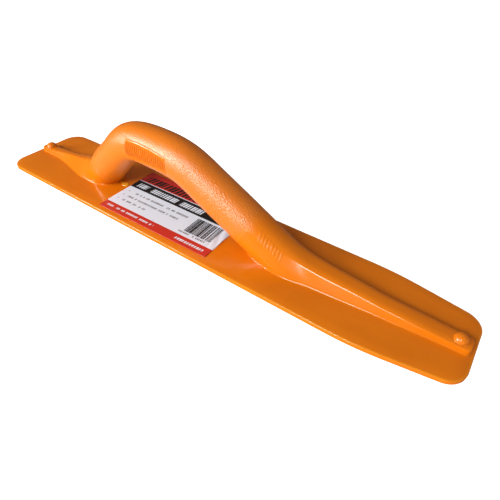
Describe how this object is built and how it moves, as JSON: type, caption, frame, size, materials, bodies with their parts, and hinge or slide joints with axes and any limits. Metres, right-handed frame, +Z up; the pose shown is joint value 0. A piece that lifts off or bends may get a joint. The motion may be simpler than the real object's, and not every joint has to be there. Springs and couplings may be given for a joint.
{
  "type": "hand float",
  "caption": "Long flat masonry shaping float with a tapered toe, a bowed round handle rising from a low spine, domed studs and a flat rectangular label.",
  "frame": {"origin": "on the flat sole, at the middle of the blade's length and width", "axes": "+X towards the tapered toe, +Y across the blade, +Z up through the handle"},
  "size_m": [0.4064, 0.0762, 0.0692],
  "materials": {
    "blade_plastic": "glossy moulded composite plastic, orange all through",
    "frame_plastic": "glossy moulded composite plastic, orange all through",
    "grip_plastic": "fine spark texture, semi-matt, orange all through",
    "stud_plastic": "glossy moulded plastic, orange all through",
    "label_film": "printed film label, white with red and black bands, slight gloss"
  },
  "bodies": {
    "root": {"blade": "blade_plastic", "spine_frame": "frame_plastic", "grip_sleeve": "grip_plastic", "front_stud": "stud_plastic", "rear_stud": "stud_plastic", "label": "label_film"}
  },
  "joints": []
}
